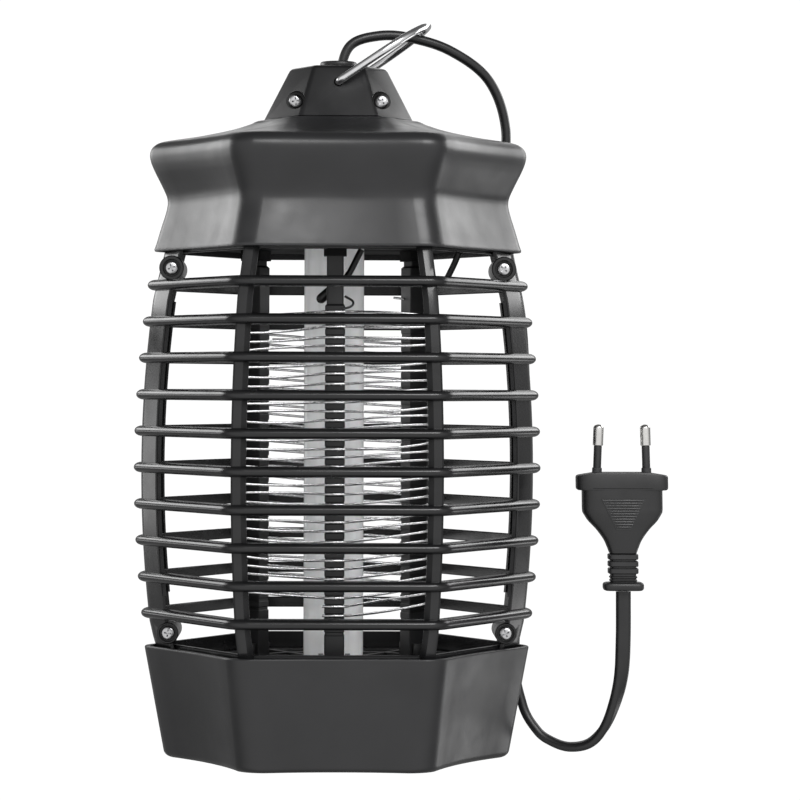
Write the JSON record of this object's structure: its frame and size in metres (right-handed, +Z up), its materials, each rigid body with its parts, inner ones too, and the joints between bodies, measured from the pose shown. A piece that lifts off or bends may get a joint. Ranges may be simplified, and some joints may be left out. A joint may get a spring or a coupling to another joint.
{
  "type": "electric bug zapper",
  "caption": "Hanging electric insect killer: ringed cage round a UV lamp and high-voltage wire grid, with a drop-off catch tray, hanging loop and mains cord.",
  "frame": {"origin": "centre of the catch tray's underside", "axes": "+Z up along the lamp, -Y towards the front (the side with the screw heads), +X towards the plug"},
  "size_m": [0.2042, 0.137, 0.2807],
  "materials": {
    "shell_plastic": "satin black ABS, fine moulded texture",
    "cage_plastic": "semi-gloss black ABS",
    "inner_plastic": "matte black",
    "screw_steel": "zinc-plated, cross recess",
    "bail_chrome": "bright plated wire",
    "grid_steel": "bright drawn wire",
    "pin_nickel": "nickel-plated brass",
    "lamp_glass": "opal white, unlit phosphor-coated tube",
    "lamp_base_plastic": "white moulded plastic",
    "board_laminate": "green circuit board",
    "capacitor_film": "dipped film capacitor",
    "lead_insulation": "satin black PVC",
    "cord_pvc": "satin black PVC",
    "sleeve_plastic": "matte black pin insulation"
  },
  "bodies": {
    "housing": {"hood": "shell_plastic", "cage_front": "cage_plastic", "cage_rear": "cage_plastic", "cage_screw_top_left": "screw_steel", "cage_screw_top_right": "screw_steel", "cage_screw_bottom_left": "screw_steel", "cage_screw_bottom_right": "screw_steel", "cap_front": "shell_plastic", "cap_rear": "shell_plastic", "cap_screw_left": "screw_steel", "cap_screw_right": "screw_steel", "cord_grommet": "cord_pvc", "floor_grille": "inner_plastic", "ceiling_plate": "inner_plastic", "lamp_tube": "lamp_glass", "lamp_base": "lamp_base_plastic", "lamp_socket": "inner_plastic", "circuit_board": "board_laminate", "transformer": "inner_plastic", "capacitor_left": "capacitor_film", "capacitor_right": "capacitor_film", "coil_post_front": "inner_plastic", "coil_post_rear_left": "inner_plastic", "coil_post_rear_right": "inner_plastic", "grid_coil_lower": "grid_steel", "grid_coil_upper": "grid_steel", "hv_lead_front": "lead_insulation", "hv_lead_right": "lead_insulation", "power_cord": "cord_pvc", "plug_body": "cord_pvc", "pin_sleeve_left": "sleeve_plastic", "pin_sleeve_right": "sleeve_plastic", "plug_pin_left": "pin_nickel", "plug_pin_right": "pin_nickel"},
    "bail": {"hanging_bail": "bail_chrome"},
    "tray": {"catch_tray": "shell_plastic"}
  },
  "joints": [
    {"name": "bail_swing", "type": "hinge", "parent": "housing", "child": "bail", "pos_m": [0, 0, 0.2564], "axis": [0, 1, 0], "range_deg": [-150, 0]},
    {"name": "tray_drop", "type": "slide", "parent": "housing", "child": "tray", "axis": [0, 0, -1], "range_m": [0, 0.06]}
  ]
}
